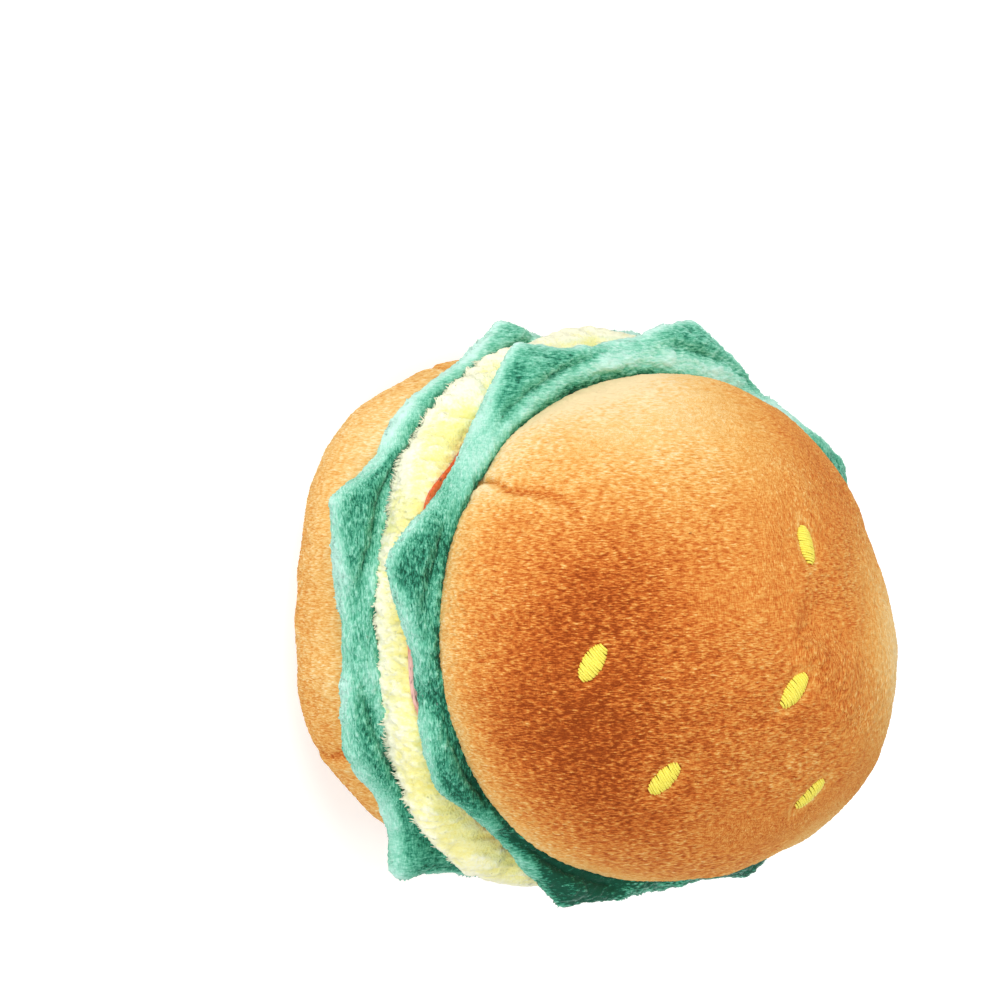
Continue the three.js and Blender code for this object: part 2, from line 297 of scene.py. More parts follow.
def raise_pile(target, grows, pile, nap, turned, seed):
    """Grows cut pile. Each face that grows it gets a tuft at its middle, and the tufts lean with the
    nap and stand in uneven rows, which run along X where turned is 1 and across it where it is 0."""
    bm = bmesh.new()
    bm.from_mesh(target.data)
    tip_layer = bm.verts.layers.float.new("tip")
    bm.faces.ensure_lookup_table()
    centres = np.array([face.calc_center_median() for face in bm.faces])
    grown = [bm.faces[int(index)] for index in np.flatnonzero(grows(centres))]
    for tip in bmesh.ops.poke(bm, faces=grown)["verts"]:
        tip[tip_layer] = 1.0
    bm.to_mesh(target.data)
    bm.free()
    mesh = target.data
    mesh.shade_smooth()
    random = np.random.default_rng(seed)
    points = coordinates(mesh)
    outward = normals(mesh)
    tips = np.empty(len(points), np.float32)
    mesh.attributes["tip"].data.foreach_get("value", tips)
    grown = (tips > 0.5) | grows(points)
    places = points[grown]
    facing = outward[grown]
    long = pile["long"]
    rows_across = drift(places / (1, long, long), pile["row"], seed)
    rows_along = drift(places / (long, 1, 1), pile["row"], seed)
    share = turned(places)
    rows = rows_across + (rows_along - rows_across) * share
    rise = 0.4 + 0.5 * rows + 0.2 * tips[grown] + random.uniform(-0.15, 0.15, len(places))
    rise = np.clip(rise, 0, 1)
    lean = nap(places, facing)
    side = np.cross(facing, lean)
    swirl = pile["swirl"] * drift(places, 9 * MM, seed)
    angle = swirl + random.normal(scale=pile["stray"], size=len(places))
    lean = lean * np.cos(angle)[:, None] + side * np.sin(angle)[:, None]
    scatter = random.uniform(-pile["scatter"], pile["scatter"], places.shape)
    scatter -= (scatter * facing).sum(axis=1, keepdims=True) * facing
    upright = pile["upright"]
    length = pile["length"] * rise[:, None]
    points[grown] += length * (facing * upright + lean * math.sqrt(1 - upright ** 2)) + scatter
    tips[grown] = rise
    mesh.attributes["tip"].data.foreach_set("value", tips)
    turns = np.zeros(len(points))
    turns[grown] = share
    mark(target, "turned", turns)
    return points


def grow_locks(target, share_at, heading_at, length, seed):
    """Draws fine curly locks out of a share of the pile's facets."""
    bm = bmesh.new()
    bm.from_mesh(target.data)
    tip_layer = bm.verts.layers.float["tip"]
    random = np.random.default_rng(seed)
    faces = [face for face in bm.faces if len(face.verts) == 3]
    centres = np.array([face.calc_center_median() for face in faces])
    chosen = np.flatnonzero(random.random(len(faces)) < share_at(centres))
    faces = [faces[int(index)] for index in chosen]
    centres = centres[chosen]
    heading = heading_at(centres)
    out = unit(centres * (1, 1, 0))
    # Noise vectors start from the clock unless they are seeded
    noise.seed_set(seed)
    curl = np.array([noise.noise_vector(Vector(place) / (1.6 * MM)) for place in centres])
    spin = 0.6 * curl + random.normal(scale=0.1, size=centres.shape)
    reach = length * random.uniform(0.6, 1.2, (len(faces), 1))
    step_count = len(LOCK_TAPER_SHARES)
    width_share = 1.0
    for step, taper in enumerate(LOCK_TAPER_SHARES):
        faces = bmesh.ops.extrude_discrete_faces(bm, faces=faces)["faces"]
        along = (step + 1) / step_count
        shifts = unit(heading + spin * along + out * (0.35 - 0.5 * along)) * reach / step_count
        for face, shift in zip(faces, shifts):
            middle = face.calc_center_median()
            for corner in face.verts:
                corner.co = middle + (corner.co - middle) * (taper / width_share) + Vector(shift)
                corner[tip_layer] = 0.5 + 0.5 * along
        width_share = taper
    bm.to_mesh(target.data)
    bm.free()
    target.data.shade_smooth()


def smooth_step(values):
    share = np.clip(values, 0, 1)
    return share * share * (3 - 2 * share)


def mark(target, name, values):
    """Stores one value for each vertex under a name that a material reads."""
    layer = target.data.attributes.new(name, "FLOAT", "POINT")
    layer.data.foreach_set("value", np.asarray(values, np.float32))


def tangent(direction, outward):
    """The part of a direction that lies along the surface."""
    along = direction - outward * (direction * outward).sum(axis=1, keepdims=True)
    return unit(along)


# Materials

def linear(code):
    """A hex colour as Blender's linear colour."""
    parts = [int(code[i : i + 2], 16) / 255 for i in (1, 3, 5)]
    return [*(p / 12.92 if p <= 0.04045 else ((p + 0.055) / 1.055) ** 2.4 for p in parts), 1]


def add_node(tree, kind, inputs=None, **settings):
    """Adds a node with its settings, and its inputs as values or as other nodes' outputs."""
    node = tree.nodes.new(kind)
    for name, value in settings.items():
        setattr(node, name, value)
    for name, value in (inputs or {}).items():
        if isinstance(value, bpy.types.NodeSocket):
            tree.links.new(value, node.inputs[name])
        else:
            node.inputs[name].default_value = value
    return node


def start_material(name, **shader):
    material = bpy.data.materials.new(name)
    material.use_nodes = True
    tree = material.node_tree
    principled = tree.nodes["Principled BSDF"]
    for socket, value in shader.items():
        principled.inputs[socket.replace("_", " ")].default_value = value
    place = add_node(tree, "ShaderNodeTexCoord").outputs["Object"]
    return material, tree, principled, place


def noise_at(tree, place, size, stretch=(1, 1, 1), detail=2.0):
    """Noise whose grains are about size across, stretched along the axes."""
    scaled = add_node(
        tree, "ShaderNodeMapping",
        {"Vector": place, "Scale": [1 / (size * share) for share in stretch]},
    )
    grain = add_node(
        tree, "ShaderNodeTexNoise",
        {"Vector": scaled.outputs["Vector"], "Scale": 1.0, "Detail": detail, "Roughness": 0.6},
    )
    return grain.outputs["Fac"]


def maths(tree, operation, *values):
    return add_node(tree, "ShaderNodeMath", dict(enumerate(values)), operation=operation).outputs[0]


def ramp(tree, value, stops):
    node = add_node(tree, "ShaderNodeValToRGB", {"Fac": value})
    stripes = node.color_ramp.elements
    while len(stripes) < len(stops):
        stripes.new(0.5)
    for stripe, (position, code) in zip(stripes, stops):
        stripe.position = position
        stripe.color = linear(code)
    return node.outputs["Color"]


def kept_value(tree, name):
    """A value that the mesh keeps for each vertex."""
    return add_node(tree, "ShaderNodeAttribute", attribute_name=name).outputs["Fac"]


def dress(tree, principled, colour, roughness, height, strength, depth):
    """Gives the shader its colour, its roughness and a bump from a height."""
    tree.links.new(colour, principled.inputs["Base Color"])
    tree.links.new(roughness, principled.inputs["Roughness"])
    bump = add_node(tree, "ShaderNodeBump", {"Height": height, "Strength": strength, "Distance": depth})
    tree.links.new(bump.outputs["Normal"], principled.inputs["Normal"])


def plush(name, stops, sheen, tint, fibre, long, contrast, clump, mottle):
    """Short cut pile. Fibres lie in streaks along its rows, tips are paler than roots, ridges carry a
    painted highlight and hollows painted shade through the tone, and the velvet sheen brightens the rims."""
    material, tree, principled, place = start_material(
        name, Sheen_Weight=sheen, Sheen_Roughness=0.35, Sheen_Tint=linear(tint),
        Specular_IOR_Level=0.15,
    )
    across = noise_at(tree, place, fibre, (1, long, long))
    along = noise_at(tree, place, fibre, (long, 1, 1))
    tone, tip, turned = (kept_value(tree, kept) for kept in ("tone", "tip", "turned"))
    streaks = add_node(tree, "ShaderNodeMix", {"Factor": turned, "A": across, "B": along})
    streaks = streaks.outputs["Result"]
    patterns = (
        (tip, 0.2), (streaks, contrast), (noise_at(tree, place, clump), mottle),
        (noise_at(tree, place, 18 * MM, detail=1.0), 0.2),
    )
    strength = maths(tree, "MULTIPLY_ADD", tone, -1.5, 1.8)
    total = tone
    for pattern, share in patterns:
        change = maths(tree, "MULTIPLY", maths(tree, "SUBTRACT", pattern, 0.5), strength)
        total = maths(tree, "MULTIPLY_ADD", change, share, total)
    rough = maths(tree, "MULTIPLY_ADD", streaks, 0.2, 0.78)
    dress(tree, principled, ramp(tree, total, stops), rough, streaks, strength=0.4, depth=0.3 * MM)
    return material


def bun_plush():
    """Caramel velboa, a knitted polyester plush with a 1 mm cut pile. It is brown over the crown, with
    painted shade in patches, and painted sheen and painted light make it pale at the rim and on the side
    toward the key lamp."""
    stops = (
        (0.02, "#8C3B0C"), (0.28, "#BA5C20"), (0.45, "#CF7C35"), (0.62, "#DD9C4C"),
        (0.78, "#E8BC74"), (0.95, "#EED8AA"),
    )
    return plush(
        "caramel velboa plush", stops, sheen=0.15, tint="#FFD488", fibre=0.2 * MM, long=5.0,
        contrast=1.3, clump=2.5 * MM, mottle=0.15,
    )


def leaf_plush():
    """Green velboa, the same cloth dyed green."""
    stops = ((0.1, "#15503C"), (0.3, "#2F8468"), (0.5, "#5CAF91"), (0.7, "#8CD0B8"), (0.95, "#C4EBDF"))
    return plush(
        "green velboa plush", stops, sheen=0.45, tint="#D8FFF2", fibre=0.26 * MM, long=4.0,
        contrast=1.2, clump=2.0 * MM, mottle=0.2,
    )


def cheese_plush():
    """Pale yellow long-pile plush. Its locks are deeper yellow at the root and cream at the tip."""
    material, tree, principled, place = start_material(
        "long-pile yellow plush", Sheen_Weight=0.6, Sheen_Roughness=0.5,
        Sheen_Tint=linear("#FFFFE6"), Specular_IOR_Level=0.15,
    )
    tone, tip = (kept_value(tree, kept) for kept in ("tone", "tip"))
    fine = noise_at(tree, place, 0.4 * MM, (1, 1, 3))
    total = tone
    for pattern, share in ((tip, 0.3), (noise_at(tree, place, 3 * MM), 0.5), (fine, 0.6)):
        total = maths(tree, "MULTIPLY_ADD", maths(tree, "SUBTRACT", pattern, 0.5), share, total)
    stops = ((0.1, "#EBDA66"), (0.35, "#F3E98C"), (0.6, "#F7F2A8"), (0.9, "#FBFADC"))
    rough = maths(tree, "MULTIPLY_ADD", fine, 0.2, 0.75)
    dress(tree, principled, ramp(tree, total, stops), rough, fine, strength=0.6, depth=0.4 * MM)
    return material


def tomato_knit():
    """Smooth brushed knit, orange-red, with a painted pink highlight where the nap turns."""
    stops = ((0.1, "#C9501C"), (0.45, "#DE6C3A"), (0.7, "#E59378"), (0.95, "#EBB8AE"))
    return plush(
        "brushed orange-red knit", stops, sheen=0.3, tint="#FFE0D8", fibre=0.3 * MM, long=2.0,
        contrast=0.5, clump=1.2 * MM, mottle=0.3,
    )


def seed_thread():
    """Yellow rayon embroidery thread laid in satin stitch, which shines along each strand."""
    material, tree, principled, place = start_material(
        "yellow rayon satin stitch", Sheen_Weight=0.2, Sheen_Roughness=0.3,
        Sheen_Tint=linear("#FFFFC0"), Specular_IOR_Level=0.4,
    )
    twist = noise_at(tree, place, 0.12 * MM, (1, 3, 1))
    shade = maths(tree, "MULTIPLY_ADD", kept_value(tree, "strand"), -0.15, twist)
    stops = ((0.1, "#D8BE38"), (0.35, "#ECDC4E"), (0.55, "#F3E75A"), (0.8, "#FAF28A"))
    rough = maths(tree, "MULTIPLY_ADD", twist, 0.3, 0.35)
    dress(tree, principled, ramp(tree, shade, stops), rough, twist, strength=0.4, depth=0.08 * MM)
    return material


def lining_cloth():
    """Plain woven polyester-cotton lining, with its threads 0.5 mm apart, twice the real spacing
    so that the weave shows."""
    material, tree, principled, place = start_material("plain woven lining", Specular_IOR_Level=0.2)
    spacing = 0.5 * MM
    waves = []
    for direction in ("X", "Y"):
        wave = add_node(
            tree, "ShaderNodeTexWave",
            {"Vector": place, "Scale": 1 / (spacing * 20), "Distortion": 0.6, "Detail": 1.0},
            wave_type="BANDS", bands_direction=direction,
        )
        waves.append(wave.outputs["Fac"])
    weave = maths(tree, "MAXIMUM", *waves)
    stain = maths(tree, "MULTIPLY", noise_at(tree, place, 6 * MM), 0.4)
    total = maths(tree, "ADD", maths(tree, "MULTIPLY", weave, 0.6), stain)
    stops = ((0.2, "#C9C3B4"), (0.6, "#E4DFD2"), (0.95, "#F2EEE4"))
    rough = maths(tree, "MULTIPLY_ADD", weave, -0.15, 0.95)
    dress(tree, principled, ramp(tree, total, stops), rough, weave, strength=0.6, depth=0.12 * MM)
    return material


def fibre_filling():
    """Loose hollow polyester fibre, matt white with tangled shadows."""
    material, tree, principled, place = start_material(
        "hollow polyester fibre", Sheen_Weight=0.3, Specular_IOR_Level=0.2,
    )
    tangle = noise_at(tree, place, 0.8 * MM, detail=6.0)
    stops = ((0.3, "#CFCFCB"), (0.6, "#EDEDEA"), (0.85, "#F6F6F4"))
    rough = maths(tree, "MULTIPLY_ADD", tangle, 0.2, 0.8)
    dress(tree, principled, ramp(tree, tangle, stops), rough, tangle, strength=0.8, depth=0.5 * MM)
    return material


def moulded_plastic(name, stops, roughness, grain):
    """Moulded or stamped plastic with a faint grain from the tool."""
    material, tree, principled, place = start_material(name, IOR=1.5)
    speckle = noise_at(tree, place, grain, detail=3.0)
    rough = maths(tree, "MULTIPLY_ADD", speckle, 0.2, roughness)
    dress(tree, principled, ramp(tree, speckle, stops), rough, speckle, strength=0.3, depth=0.05 * MM)
    return material


# Buns

def bun_size(cover, lining, up, own):
    """A bun's sizes, from its cover and lining in the frame, and those of its own."""
    cover_low, cover_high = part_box(cover)
    lining_low, lining_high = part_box(lining)
    middle = (lining_low + lining_high) / 2
    seam_height = cover_low.z if up > 0 else cover_high.z
    return {
        "middle": Vector((middle.x, middle.y, seam_height)),
        "up": up,
        "radius": (cover_high.x - cover_low.x) / 2,
        "height": cover_high.z - cover_low.z,
        **own,
    }


def bun_outline(size, share, inset):
    """Radius and height over the seam, at a share of the way from the pole to the middle of the
    underside."""
    dome_share, seam_share = 0.56, 0.62
    radius = size["radius"] - inset
    seam = radius - size["seam_inset"]
    power = 2 / size["fullness"]
    if share < dome_share:
        angle = (1 - share / dome_share) * math.pi / 2
        rise = size["height"] - inset - size["tuck"]
        return radius * math.cos(angle) ** power, size["tuck"] + rise * math.sin(angle) ** power
    if share < seam_share:
        angle = (share - dome_share) / (seam_share - dome_share) * math.pi / 2
        height = (size["tuck"] + RIM_DROP) * (1 - math.sin(angle)) - RIM_DROP
        return radius - size["seam_inset"] * (1 - math.cos(angle)), height
    return seam * (1 - share) / (1 - seam_share), -RIM_DROP * max(0, 1 - 6 * (share - seam_share))


def dart_places(points, size):
    """How far each point is to the side of its nearest dart, its height over the seam, and how far
    up the darts reach on its side."""
    centred = points - np.array(size["middle"])
    darts = size["darts"]
    spacing = 2 * math.pi / darts["count"]
    offset = round_axis(centred) - math.radians(darts["first"]) + spacing / 2
    nearest = offset - spacing * np.floor(offset / spacing) - spacing / 2
    length = np.where(centred[:, 1] > 0, darts["far_length"], darts["length"])
    return nearest * from_axis(centred), centred[:, 2] * size["up"], length


def swell_out(size, direction, height):
    """How far the filling bulges the cover at its fuller places, and how far the rim is pressed
    in at its pressed ones. Each place: direction, half width, lowest, highest height, depth."""
    shift = 0
    for place, width, low, high, depth in size["fuller"]:
        aside = aside_of(np.degrees(direction), place)
        up = np.clip((height / MM - low) / (high - low), 0, 1)
        shift = shift + depth * MM * hump(aside, width) * np.sin(np.pi * up) ** 0.7
    return shift


def seed_reach(points, seed_frame):
    """How far each point is from a seed's middle, 1 at the seed's edge, and whether it is near."""
    middle, long, normal, half_length, half_width = seed_frame
    away = points - middle
    reach = np.hypot(away @ long / half_length, away @ np.cross(normal, long) / half_width)
    return reach, np.abs(away @ normal) < SEED_NEAR


def build_bun(name, size, nodes, body, seeds, seed):
    """A cover swollen by its filling, drawn in along its darts, with a short pile."""
    bm = bmesh.new()
    bmesh.ops.create_cube(bm, size=2)
    bmesh.ops.subdivide_edges(bm, edges=bm.edges, cuts=14, use_grid_fill=True)
    inset = BUN_PILE["length"] * BUN_PILE["upright"] * 0.7 + size["swell"]
    for corner in bm.verts:
        direction = Vector([math.tan(math.pi / 4 * axis) for axis in corner.co]).normalized()
        share = math.acos(max(-1, min(1, direction.z))) / math.pi
        radius, height = bun_outline(size, share, inset)
        around = Vector((direction.x, direction.y, 0))
        around = around.normalized() if around.length > 1e-6 else around
        corner.co = size["middle"] + around * radius + UP * height * size["up"]
    if size["up"] < 0:
        bmesh.ops.reverse_faces(bm, faces=bm.faces)
    bun = piece(name, bm, bun_plush_material)
    floor = 0.0 if size["up"] < 0 else -1.0

    points = coordinates(bun.data)
    aside, height, dart_length = dart_places(points, size)
    on_dart = (np.abs(aside) < DART_SEWN) & (height < dart_length)
    held = (height < 0.4 * MM) | on_dart | (points[:, 2] < 0.5 * MM + floor)
    inflate(bun, held, size["pressure"], BUN_SWELL)
    refine(bun, 3)

    points = coordinates(bun.data)
    outward = normals(bun.data)
    aside, height, dart_length = dart_places(points, size)
    fade = np.clip(1 - height / dart_length, 0, 1) * (height > -0.1 * MM)
    wander = 0.7 * MM * drift(points, 6 * MM, seed)
    crease_width, crease_depth = DART_CREASE
    pucker_width, pucker_depth = DART_PUCKER
    lip_place, lip_width, lip_height = DART_LIP
    crease = hump(aside + wander, crease_width) * np.sqrt(fade)
    pucker = hump(aside, pucker_width) * fade
    lip = hump(aside + wander - lip_place, lip_width) * np.sqrt(fade)
    uneven = 0.5 * MM * drift(points, 17 * MM, seed + 1) + 0.14 * MM * drift(points, 5 * MM, seed + 2)
    centred = points - np.array(size["middle"])
    uneven += swell_out(size, round_axis(centred), height)
    above = np.clip((height + RIM_DROP) / (4 * MM), 0, 1)
    shift = uneven * above - crease_depth * crease - pucker_depth * pucker + lip_height * lip
    brushed = np.zeros(len(points))
    for seed_frame in seeds:
        reach, near = seed_reach(points, seed_frame)
        shift -= SEED_DIP * np.exp(-((reach / 1.5) ** 4)) * near
        brushed += hump(reach - 1.3, 0.2) * near
    points += outward * shift[:, None]
    points[:, 2] = np.maximum(points[:, 2], floor)
    set_coordinates(bun.data, points)
    # The tone is the plush's own colour with painted light over it: paler at the rim as painted sheen, and
    # paler or darker in patches as painted light and painted shade.
    tone, rim, patches = size["tone_and_painted_light"]
    tone = tone + rim * hump(height, 10 * MM)
    for place, reach, change in patches:
        away = (points - np.array(size["middle"])) * (1, 1, size["up"]) / MM - np.array(place)
        tone += change * np.exp(-(away ** 2).sum(axis=1) / reach ** 2)
    # The dart's lip gets a painted highlight and its crease painted shade.
    mark(bun, "tone", tone + 0.12 * lip - 0.35 * crease + 0.15 * brushed)

    def grows(places):
        height = (places[:, 2] - size["middle"].z) * size["up"]
        inside = np.hypot(*(places - np.array(size["middle"]))[:, :2].T) < size["radius"] * 0.85
        bare = ((height < 0.3 * MM) & inside) | (places[:, 2] < 0.2 * MM + floor)
        for seed_frame in seeds:
            reach, near = seed_reach(places, seed_frame)
            bare |= (reach < 0.95) & near
        return ~bare

    def nap(places, outward):
        rim = (places - np.array(size["middle"])) * (1, 1, 0)
        return tangent(unit(rim) * 0.7 + np.array([0.8, -0.2, 0]), outward)

    def turned(places):
        far_side = (places[:, 1] - size["middle"].y) / size["radius"]
        return smooth_step(0.35 + 0.8 * far_side + 0.5 * drift(places, 14 * MM, seed + 4))

    bm = bmesh.new()
    bm.from_mesh(bun.data)
    surface = BVHTree.FromBMesh(bm)
    bm.free()
    points = raise_pile(bun, grows, BUN_PILE, nap, turned, seed)
    points[:, 2] = np.maximum(points[:, 2], floor)
    set_coordinates(bun.data, points)
    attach(bun, body)
    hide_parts(*nodes)
    return surface


def seed_frames():
    """Middle, long direction, normal, half length and half width of each seed in the frame."""
    frames = []
    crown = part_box("top_bun_lining")[0]
    for index in range(1, 6):
        points = coordinates(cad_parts[f"sesame_seed_{index}"].data)
        middle = points.mean(axis=0)
        axes = np.linalg.eigh(np.cov((points - middle).T))[1]
        normal, long = axes[:, 0], axes[:, 2]
        if normal @ (middle - np.array((0, 0, crown.z))) < 0:
            normal = -normal
        half_length = np.abs((points - middle) @ long).max()
        half_width = np.abs((points - middle) @ axes[:, 1]).max()
        frames.append((middle, long, normal, half_length, half_width))
    return frames


def build_seed(index, surface, middle, long, normal, half_length, half_width):
    """Satin stitch: strands side by side across an almond, each an arch into the plush."""
    pitch = 0.4 * MM
    strand = 0.22 * MM
    half_length *= 0.93
    random = np.random.default_rng(40 + index)
    middle, long, normal = Vector(middle), Vector(long), Vector(normal)
    across = normal.cross(long)
    bm = bmesh.new()
    strand_layer = bm.verts.layers.float.new("strand")
    for step in range(int(2 * half_length / pitch)):
        place = -half_length + (step + 0.5) * pitch
        bow = 1 - (place / half_length) ** 2
        reach = 1.03 * half_width * bow ** 0.5 * random.uniform(0.93, 1.04)
        flatness = 0.95 * MM * bow ** 0.35 * random.uniform(0.93, 1.05) / reach
        slant = 0.22 + random.normal(scale=0.04)
        before = len(bm.verts)
        ring = bmesh.ops.create_circle(
            bm, radius=strand, segments=6, matrix=Matrix.Translation((reach, 0, 0)),
        )["verts"]
        loop = dict.fromkeys(edge for corner in ring for edge in corner.link_edges)
        bmesh.ops.spin(
            bm, geom=[*ring, *loop], cent=(0, 0, 0), axis=(0, -1, 0), angle=math.pi, steps=8,
        )
        for corner in bm.verts[before:]:
            side, along, lift = corner.co
            start = middle + long * (place + along + side * slant) + across * side
            hit = surface.ray_cast(start + normal * 8 * MM, -normal)[0] or start
            corner.co = hit + normal * (lift * flatness - 0.1 * MM)
            corner[strand_layer] = random.uniform(0, 1) if step % 2 else 0.0
    rims = [edge for edge in bm.edges if edge.is_boundary]
    bmesh.ops.holes_fill(bm, edges=rims, sides=8)
    bmesh.ops.recalc_face_normals(bm, faces=bm.faces)
    stitched = piece(f"satin_seed_{index}", bm, seed_material)
    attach(stitched, UPPER)
    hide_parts(f"sesame_seed_{index}")


# Frills

UPPER_FRILL = {
    "tips": (-149, -101, -58, -20, 28, 75, 121, 169),
    "tip_shares": (1.2, 1, 0.65, 0.8, 1, 0.9, 1, 1),
    "flat": 43.3 * MM,
    "valley": 47.3 * MM,
    "reach": 5.7 * MM,
    "lip": (1.5 * MM, -130, 90),
    "growth": 0.8 * MM,
    "longest_share": 1.2,
    "tone": 0.58,
    "darker": 0.34,
}
LOWER_FRILL = {
    "tips": (-173, -160, -136, -111, -66, -42, -22, 2, 50, 98, 146),
    "tip_shares": (-1.0, 0.95, 0.5, 1.35, 0.85, 1.9, -0.7, -1.3, 0.9, 1, 1),
    "flat": 46.5 * MM,
    "valley": 51.4 * MM,
    "reach": 5.1 * MM,
    "lip": (2.4 * MM, -82, 32),
    "growth": -0.2 * MM,
    "longest_share": 1.8,
    "tone": 0.67,
    "darker": 0.1,
}
# How far the solids' leaf edges curl, and how far the plush ones do
FRILL_CURL = 1.8 * MM
LEAF_CURL = 1.0 * MM
# Radius of the hole in the middle of a frill and of the tomato slice
FRILL_HOLE = 8 * MM
# Tips closer together than this, in degrees, have a shallower hollow between them
FULL_HOLLOW_SPAN = 48
# Width of the roll beside the bun, up to the crease at the root of the leaves
ROLL_WIDTH = 3.4 * MM
# That crease's half width and its depth in millimetres, and the half width, the height in millimetres
# and the place of the ridge outside it
LEAF_CREASE = (1.0 * MM, 0.9)
LEAF_RIDGE = (1.2 * MM, 0.5, 1.9 * MM)
# Radius at which the noise along a frill's rim is read
NOISE_RING = 50 * MM
# What lies above the lower frill: its middle and radius
CHEESE_FOOT = (Vector((0, 0, 0)), 46.0 * MM)


def pointedness(frill, directions):
    """How far the leaf edge reaches past the hollows at each direction, 1 at a full tip."""
    tips = np.array(frill["tips"], float)
    shares = np.array(frill["tip_shares"])
    starts = tips - tips[0]
    place = (np.degrees(directions) - tips[0]) % 360
    leaf = np.searchsorted(starts, place, side="right") - 1
    following = (leaf + 1) % len(tips)
    span = (starts[following] - starts[leaf]) % 360
    along = (place - starts[leaf]) / span
    share = shares[leaf] + (shares[following] - shares[leaf]) * along
    hollow = np.minimum(1, span / FULL_HOLLOW_SPAN)
    return share * (1 - hollow * np.sin(np.pi * along))


def build_frill(name, frill, above, nodes, body, seed):
    """Two plies of plush sewn together at the leaf edge and turned out. They swell into a roll,
    pushed up against what lies above, and a crease parts the roll from the leaves."""
    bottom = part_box(nodes[0])[0].z + FRILL_CURL * (frill["longest_share"] - 0.5)
    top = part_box(nodes[1])[1].z - FRILL_CURL / 2
    middle = (bottom + top) / 2
    half = (top - bottom) / 2 - LEAF_PILE["length"] * 0.5
    band = frill["valley"] - frill["flat"]
    shares = (0, 0.2, 0.4, 0.6, 0.8, 0.94)
    swell = [half * (1 + 0.5 * math.sin(math.pi * s)) * math.sqrt(1 - (s * 0.98) ** 4) for s in shares]
    inner = [(FRILL_HOLE, half), (frill["flat"] * 0.6, half), (frill["flat"] - 3 * MM, half)]
    upper_side = inner + [(frill["flat"] + band * s, t) for s, t in zip(shares, swell)]
    lower_side = [(radius, -height) for radius, height in reversed(upper_side)]
    profile = upper_side + [(frill["valley"], 0.0)] + lower_side + [upper_side[0]]
    leaf = piece(name, spun(profile, 176), leaf_plush_material)

    points = coordinates(leaf.data)
    radius = from_axis(points)
    direction = round_axis(points)
    outward = np.maximum(0, (radius - frill["flat"]) / band)
    pointed = pointedness(frill, direction)
    edge = frill["valley"] + frill["reach"] * pointed
    stretched = np.where(outward > 0, frill["flat"] + (edge - frill["flat"]) * outward, radius)
    stretched += frill["growth"] * np.minimum(1, outward)
    height = points[:, 2] * (1 + 0.35 * pointed) + LEAF_CURL * (0.5 - pointed) * outward ** 3
    rim = rim_ring(direction) * NOISE_RING
    height += 0.8 * MM * drift(rim, 11 * MM, seed + 5) * np.minimum(1, outward) ** 2
    set_coordinates(leaf.data, np.stack(
        [stretched * np.cos(direction), stretched * np.sin(direction), middle + height], axis=1
    ))
    inflate(leaf, outward < 0.05, pressure=200.0, cap=LEAF_SWELL)
    refine(leaf, 2)

    points = coordinates(leaf.data)
    facing = normals(leaf.data)
    radius = from_axis(points)
    direction = round_axis(points)
    pointed = pointedness(frill, direction)
    rim = rim_ring(direction) * NOISE_RING
    roll = frill["flat"] + ROLL_WIDTH + 0.5 * MM * drift(rim, 12 * MM, seed)
    depth = np.clip(2.6 * pointed - 0.15 + 0.5 * drift(rim, 16 * MM, seed + 3), 0, 1)
    crease_width, crease_depth = LEAF_CREASE
    ridge_width, ridge_height, ridge_place = LEAF_RIDGE
    crease = hump(radius - roll, crease_width) * depth
    ridge = hump(radius - roll - ridge_place, ridge_width) * depth
    folds = 0.2 * drift(points, 4 * MM, seed + 7) + 0.35 * drift(points, 10 * MM, seed + 8)
    folds *= radius > frill["flat"] - 2 * MM
    top = np.maximum(0, facing[:, 2])
    creased = (ridge_height * ridge - crease_depth * crease) * top
    points += facing * (creased + folds)[:, None] * MM
    rim_middle, rim_radius = above
    away = np.hypot(points[:, 0] - rim_middle.x, points[:, 1] - rim_middle.y) - rim_radius
    rise, place, width = frill["lip"]
    lip = hump(away - 1.2 * MM, 2.2 * MM) * np.clip((away + 2 * MM) / (2 * MM), 0, 1)
    lip *= hump(aside_of(np.degrees(direction), place), width)
    lip *= np.clip(points[:, 2] - middle, 0, half) / half
    points[:, 2] += rise * lip
    set_coordinates(leaf.data, points)
    # Over the leaves the tone carries painted light: a painted sheen where the rim turns outward, a painted
    # highlight on the roll and on raised folds, and painted shade in the crease, over the middles of the
    # tips and beside what lies above.
    turning = (facing * rim_ring(direction)).sum(axis=1)
    painted_highlight = smooth_step((turning - 0.5) / 0.45) * smooth_step((radius - roll - 0.5 * MM) / (1 * MM))
    rolled = hump(radius - roll + 2 * MM, 2 * MM)
    pointing = np.clip((radius - roll) / (2 * MM), 0, 1) * np.clip(2 * pointed, 0, 1)
    beside = hump(away - 0.4 * MM, 1.1 * MM)
    shaded = 0.3 * crease + 0.28 * pointing * (1 - painted_highlight) + 0.4 * beside
    tone = frill["tone"] + 0.1 * painted_highlight + 0.05 * rolled - shaded + 0.3 * folds
    # Painted light makes the leaves paler toward -X, the side of the key lamp, and painted shade makes them
    # darker toward +X.
    brushed = smooth_step((-points[:, 0] - 8 * MM) / (34 * MM))
    painted_far_shade = smooth_step((points[:, 0] - 36 * MM) / (11 * MM))
    mark(leaf, "tone", tone + 0.18 * brushed - frill["darker"] * painted_far_shade)

    def grows(places):
        return from_axis(places) > frill["flat"] - 2 * MM

    def nap(places, outward):
        rim = places * (1, 1, 0)
        return tangent(unit(rim) + np.array([0.3, 0, 0]), outward)

    def turned(places):
        return smooth_step(places[:, 1] ** 2 / np.maximum((places[:, :2] ** 2).sum(axis=1), 1e-9))

    def lock_share(places):
        pointed = pointedness(frill, round_axis(places))
        edge = frill["valley"] + frill["reach"] * pointed + frill["growth"]
        return LEAF_LOCK_SHARE * (from_axis(places) > edge - 0.4 * MM)

